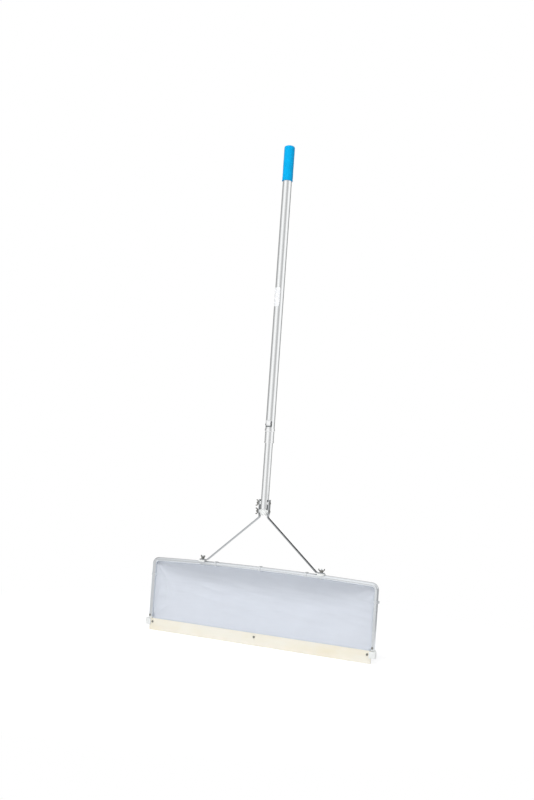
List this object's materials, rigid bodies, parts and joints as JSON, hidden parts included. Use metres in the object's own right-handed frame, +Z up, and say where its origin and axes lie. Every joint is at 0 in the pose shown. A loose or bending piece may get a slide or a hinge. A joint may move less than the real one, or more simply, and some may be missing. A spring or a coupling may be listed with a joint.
{
  "type": "tennis court squeegee",
  "caption": "Court squeegee: telescopic aluminium handle with a lever lock and soft grip, two-armed yoke, bent pipe frame with a hung sheet scoop, and a rubber blade along the lower edge.",
  "frame": {"origin": "middle of the blade's lower edge", "axes": "+Z up along the handle, +X along the blade to the right seen from the front, -Y the front, the open side of the scoop"},
  "size_m": [0.785, 0.0739, 1.534],
  "materials": {
    "tube_aluminium": "bright anodised drawn tube",
    "cast_fitting": "satin cast and machined",
    "zinc_steel": "bright zinc plated",
    "stay_steel": "polished flat bar",
    "blue_vinyl": "soft dipped sleeve, satin",
    "white_nylon": "moulded, fine satin",
    "natural_rubber": "cream cut strip, matte",
    "coated_sheet": "coated woven tarpaulin, satin",
    "sticker_white": "plain printed film, blank"
  },
  "bodies": {
    "handle": {"grip": "blue_vinyl", "upper_tube": "tube_aluminium", "label_blank": "sticker_white", "collar": "cast_fitting", "lock_bracket": "cast_fitting", "lock_pin": "zinc_steel"},
    "head": {"band_leg_left": "zinc_steel", "band_leg_right": "zinc_steel", "band_top_left": "zinc_steel", "band_top_middle": "zinc_steel", "band_top_right": "zinc_steel", "blade": "natural_rubber", "blade_nut_left": "zinc_steel", "blade_nut_middle": "zinc_steel", "blade_nut_right": "zinc_steel", "blade_screw_left": "zinc_steel", "blade_screw_middle": "zinc_steel", "blade_screw_right": "zinc_steel", "bottom_bar": "tube_aluminium", "end_plug": "white_nylon", "foot_bolt_left": "zinc_steel", "foot_bolt_right": "zinc_steel", "foot_saddle_left": "white_nylon", "foot_saddle_right": "white_nylon", "foot_washer_left": "zinc_steel", "foot_washer_right": "zinc_steel", "frame_pipe": "tube_aluminium", "guide_bush": "white_nylon", "handle_bolt_lower": "zinc_steel", "handle_bolt_upper": "zinc_steel", "leg_rivet_left": "zinc_steel", "leg_rivet_right": "zinc_steel", "leg_shoe_left": "white_nylon", "leg_shoe_right": "white_nylon", "lower_tube": "tube_aluminium", "sheet": "coated_sheet", "stay_left": "stay_steel", "stay_pad_lower_left": "white_nylon", "stay_pad_lower_right": "white_nylon", "stay_pad_upper_left": "white_nylon", "stay_pad_upper_right": "white_nylon", "stay_right": "stay_steel", "washer_lower": "zinc_steel", "washer_upper": "zinc_steel"},
    "lever": {"lock_lever": "cast_fitting"},
    "nut_upper": {"wing_nut_upper": "zinc_steel"},
    "nut_lower": {"wing_nut_lower": "zinc_steel"},
    "nut_left": {"wing_nut_left": "zinc_steel"},
    "nut_right": {"wing_nut_right": "zinc_steel"}
  },
  "joints": [
    {"name": "handle_slide", "type": "slide", "parent": "handle", "child": "head", "axis": [0, 0, 1], "range_m": [-0.42, 0.165]},
    {"name": "lock_lever_turn", "type": "hinge", "parent": "handle", "child": "lever", "pos_m": [0.00423, -0.01202, 0.664], "axis": [0.9744, 0.225, 0], "range_deg": [0, 100]},
    {"name": "wing_nut_upper_turn", "type": "hinge", "parent": "head", "child": "nut_upper", "pos_m": [-0.0193, 0.0063, 0.426], "axis": [1, 0, 0], "continuous": true},
    {"name": "wing_nut_lower_turn", "type": "hinge", "parent": "head", "child": "nut_lower", "pos_m": [-0.0193, 0.0063, 0.401], "axis": [1, 0, 0], "continuous": true},
    {"name": "wing_nut_left_turn", "type": "hinge", "parent": "head", "child": "nut_left", "pos_m": [-0.204, 0.0063, 0.23941], "axis": [0, 0, 1], "continuous": true},
    {"name": "wing_nut_right_turn", "type": "hinge", "parent": "head", "child": "nut_right", "pos_m": [0.204, 0.0063, 0.23941], "axis": [0, 0, 1], "continuous": true}
  ]
}
